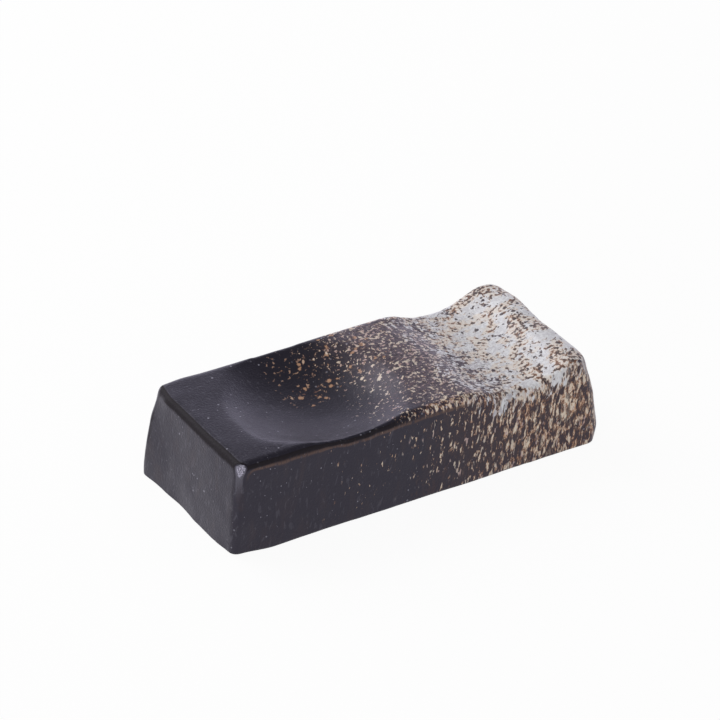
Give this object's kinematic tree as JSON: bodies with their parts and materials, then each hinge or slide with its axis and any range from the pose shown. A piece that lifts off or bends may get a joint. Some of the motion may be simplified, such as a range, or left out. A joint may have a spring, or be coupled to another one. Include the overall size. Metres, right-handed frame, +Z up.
{
  "type": "chopstick rest",
  "caption": "Low stoneware block with a round spoon well and a chopstick trough across it, glazed black with white sprayed over the trough end.",
  "frame": {"origin": "middle of the flat foot, on the surface it stands on", "axes": "+X along the length, from the spoon well to the chopstick trough, +Y across, +Z up"},
  "size_m": [0.075, 0.032, 0.018],
  "materials": {
    "clay": "bare fired clay, matt",
    "black_glaze": "satin, with fine pale and rust specks",
    "white_glaze": "satin, with dark brown specks"
  },
  "bodies": {
    "root": {"stoneware_body": "clay", "black_glaze": "black_glaze", "white_glaze": "white_glaze"}
  },
  "joints": []
}
